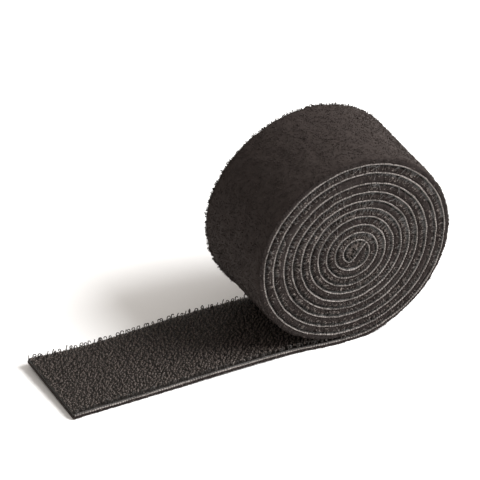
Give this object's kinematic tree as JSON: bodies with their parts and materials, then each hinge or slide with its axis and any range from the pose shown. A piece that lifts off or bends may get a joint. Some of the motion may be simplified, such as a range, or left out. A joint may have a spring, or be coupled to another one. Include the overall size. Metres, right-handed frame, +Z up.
{
  "type": "hook and loop tape roll",
  "caption": "Coreless roll of double-sided hook and loop fastening tape standing on edge, with a flat free tail; the tail bends and the outer turn unwinds.",
  "frame": {"origin": "on the floor, under the middle of the part's bounding box", "axes": "+X from the tail's tip towards the roll, +Y along the roll's axis, +Z up"},
  "size_m": [0.099, 0.025, 0.0497],
  "materials": {
    "hooks": "satin nylon thread",
    "backing": "tight pale weave",
    "loop_pile": "brushed loop pile"
  },
  "bodies": {
    "tail_root": {"tail_root_hooks": "hooks", "tail_root_backing": "backing", "tail_root_loop_pile": "loop_pile"},
    "tail_stretch_1": {"tail_stretch_1_hooks": "hooks", "tail_stretch_1_backing": "backing", "tail_stretch_1_loop_pile": "loop_pile"},
    "tail_stretch_2": {"tail_stretch_2_hooks": "hooks", "tail_stretch_2_backing": "backing", "tail_stretch_2_loop_pile": "loop_pile"},
    "tail_stretch_3": {"tail_stretch_3_hooks": "hooks", "tail_stretch_3_backing": "backing", "tail_stretch_3_loop_pile": "loop_pile"},
    "tail_stretch_4": {"tail_stretch_4_hooks": "hooks", "tail_stretch_4_backing": "backing", "tail_stretch_4_loop_pile": "loop_pile"},
    "turn_stretch_1": {"turn_stretch_1_hooks": "hooks", "turn_stretch_1_backing": "backing", "turn_stretch_1_loop_pile": "loop_pile"},
    "turn_stretch_2": {"turn_stretch_2_hooks": "hooks", "turn_stretch_2_backing": "backing", "turn_stretch_2_loop_pile": "loop_pile"},
    "turn_stretch_3": {"turn_stretch_3_hooks": "hooks", "turn_stretch_3_backing": "backing", "turn_stretch_3_loop_pile": "loop_pile"},
    "turn_stretch_4": {"turn_stretch_4_hooks": "hooks", "turn_stretch_4_backing": "backing", "turn_stretch_4_loop_pile": "loop_pile"},
    "turn_stretch_5": {"turn_stretch_5_hooks": "hooks", "turn_stretch_5_backing": "backing", "turn_stretch_5_loop_pile": "loop_pile"},
    "turn_stretch_6": {"turn_stretch_6_hooks": "hooks", "turn_stretch_6_backing": "backing", "turn_stretch_6_loop_pile": "loop_pile"},
    "turn_stretch_7": {"turn_stretch_7_hooks": "hooks", "turn_stretch_7_backing": "backing", "turn_stretch_7_loop_pile": "loop_pile"},
    "turn_stretch_8": {"turn_stretch_8_hooks": "hooks", "turn_stretch_8_backing": "backing", "turn_stretch_8_loop_pile": "loop_pile"},
    "turn_stretch_9": {"turn_stretch_9_hooks": "hooks", "turn_stretch_9_backing": "backing", "turn_stretch_9_loop_pile": "loop_pile"},
    "turn_stretch_10": {"turn_stretch_10_hooks": "hooks", "turn_stretch_10_backing": "backing", "turn_stretch_10_loop_pile": "loop_pile"},
    "turn_stretch_11": {"turn_stretch_11_hooks": "hooks", "turn_stretch_11_backing": "backing", "turn_stretch_11_loop_pile": "loop_pile"},
    "coil": {"coil_hooks": "hooks", "coil_backing": "backing", "coil_loop_pile": "loop_pile"}
  },
  "joints": [
    {"name": "tail_bend_1", "type": "hinge", "parent": "tail_root", "child": "tail_stretch_1", "pos_m": [0.01454, 0, 0.00097], "axis": [0, 1, 0], "range_deg": [-15, 30], "stiffness_Nm_per_rad": 0.0012},
    {"name": "tail_bend_2", "type": "hinge", "parent": "tail_stretch_1", "child": "tail_stretch_2", "pos_m": [-0.00146, 0, 0.00097], "axis": [0, 1, 0], "range_deg": [-15, 30], "stiffness_Nm_per_rad": 0.0012},
    {"name": "tail_bend_3", "type": "hinge", "parent": "tail_stretch_2", "child": "tail_stretch_3", "pos_m": [-0.01746, 0, 0.00097], "axis": [0, 1, 0], "range_deg": [-15, 30], "stiffness_Nm_per_rad": 0.0012},
    {"name": "tail_bend_4", "type": "hinge", "parent": "tail_stretch_3", "child": "tail_stretch_4", "pos_m": [-0.03346, 0, 0.00097], "axis": [0, 1, 0], "range_deg": [-15, 30], "stiffness_Nm_per_rad": 0.0012},
    {"name": "unwind", "type": "hinge", "parent": "tail_root", "child": "turn_stretch_1", "pos_m": [0.02788, 0, 0], "axis": [0, 1, 0], "range_deg": [0, 22.5]},
    {"name": "unwind_2", "type": "hinge", "parent": "turn_stretch_1", "child": "turn_stretch_2", "pos_m": [0.04001, 0, 0.00521], "axis": [0, 1, 0], "range_deg": [0, 30]},
    {"name": "unwind_3", "type": "hinge", "parent": "turn_stretch_2", "child": "turn_stretch_3", "pos_m": [0.04784, 0, 0.01571], "axis": [0, 1, 0], "range_deg": [0, 30]},
    {"name": "unwind_4", "type": "hinge", "parent": "turn_stretch_3", "child": "turn_stretch_4", "pos_m": [0.04936, 0, 0.02863], "axis": [0, 1, 0], "range_deg": [0, 30]},
    {"name": "unwind_5", "type": "hinge", "parent": "turn_stretch_4", "child": "turn_stretch_5", "pos_m": [0.04426, 0, 0.04049], "axis": [0, 1, 0], "range_deg": [0, 30]},
    {"name": "unwind_6", "type": "hinge", "parent": "turn_stretch_5", "child": "turn_stretch_6", "pos_m": [0.03398, 0, 0.04815], "axis": [0, 1, 0], "range_deg": [0, 30]},
    {"name": "unwind_7", "type": "hinge", "parent": "turn_stretch_6", "child": "turn_stretch_7", "pos_m": [0.02135, 0, 0.04964], "axis": [0, 1, 0], "range_deg": [0, 30]},
    {"name": "unwind_8", "type": "hinge", "parent": "turn_stretch_7", "child": "turn_stretch_8", "pos_m": [0.00975, 0, 0.04464], "axis": [0, 1, 0], "range_deg": [0, 30]},
    {"name": "unwind_9", "type": "hinge", "parent": "turn_stretch_8", "child": "turn_stretch_9", "pos_m": [0.00226, 0, 0.03459], "axis": [0, 1, 0], "range_deg": [0, 30]},
    {"name": "unwind_10", "type": "hinge", "parent": "turn_stretch_9", "child": "turn_stretch_10", "pos_m": [0.00082, 0, 0.02224], "axis": [0, 1, 0], "range_deg": [0, 30]},
    {"name": "unwind_11", "type": "hinge", "parent": "turn_stretch_10", "child": "turn_stretch_11", "pos_m": [0.0057, 0, 0.01091], "axis": [0, 1, 0], "range_deg": [0, 30]},
    {"name": "unwind_12", "type": "hinge", "parent": "turn_stretch_11", "child": "coil", "pos_m": [0.01553, 0, 0.00359], "axis": [0, 1, 0], "range_deg": [0, 30]}
  ],
  "couplings": [
    {"joint": "unwind_2", "follows": "unwind", "ratio": 1.3333},
    {"joint": "unwind_3", "follows": "unwind", "ratio": 1.3333},
    {"joint": "unwind_4", "follows": "unwind", "ratio": 1.3333},
    {"joint": "unwind_5", "follows": "unwind", "ratio": 1.3333},
    {"joint": "unwind_6", "follows": "unwind", "ratio": 1.3333},
    {"joint": "unwind_7", "follows": "unwind", "ratio": 1.3333},
    {"joint": "unwind_8", "follows": "unwind", "ratio": 1.3333},
    {"joint": "unwind_9", "follows": "unwind", "ratio": 1.3333},
    {"joint": "unwind_10", "follows": "unwind", "ratio": 1.3333},
    {"joint": "unwind_11", "follows": "unwind", "ratio": 1.3333},
    {"joint": "unwind_12", "follows": "unwind", "ratio": 1.3333}
  ]
}
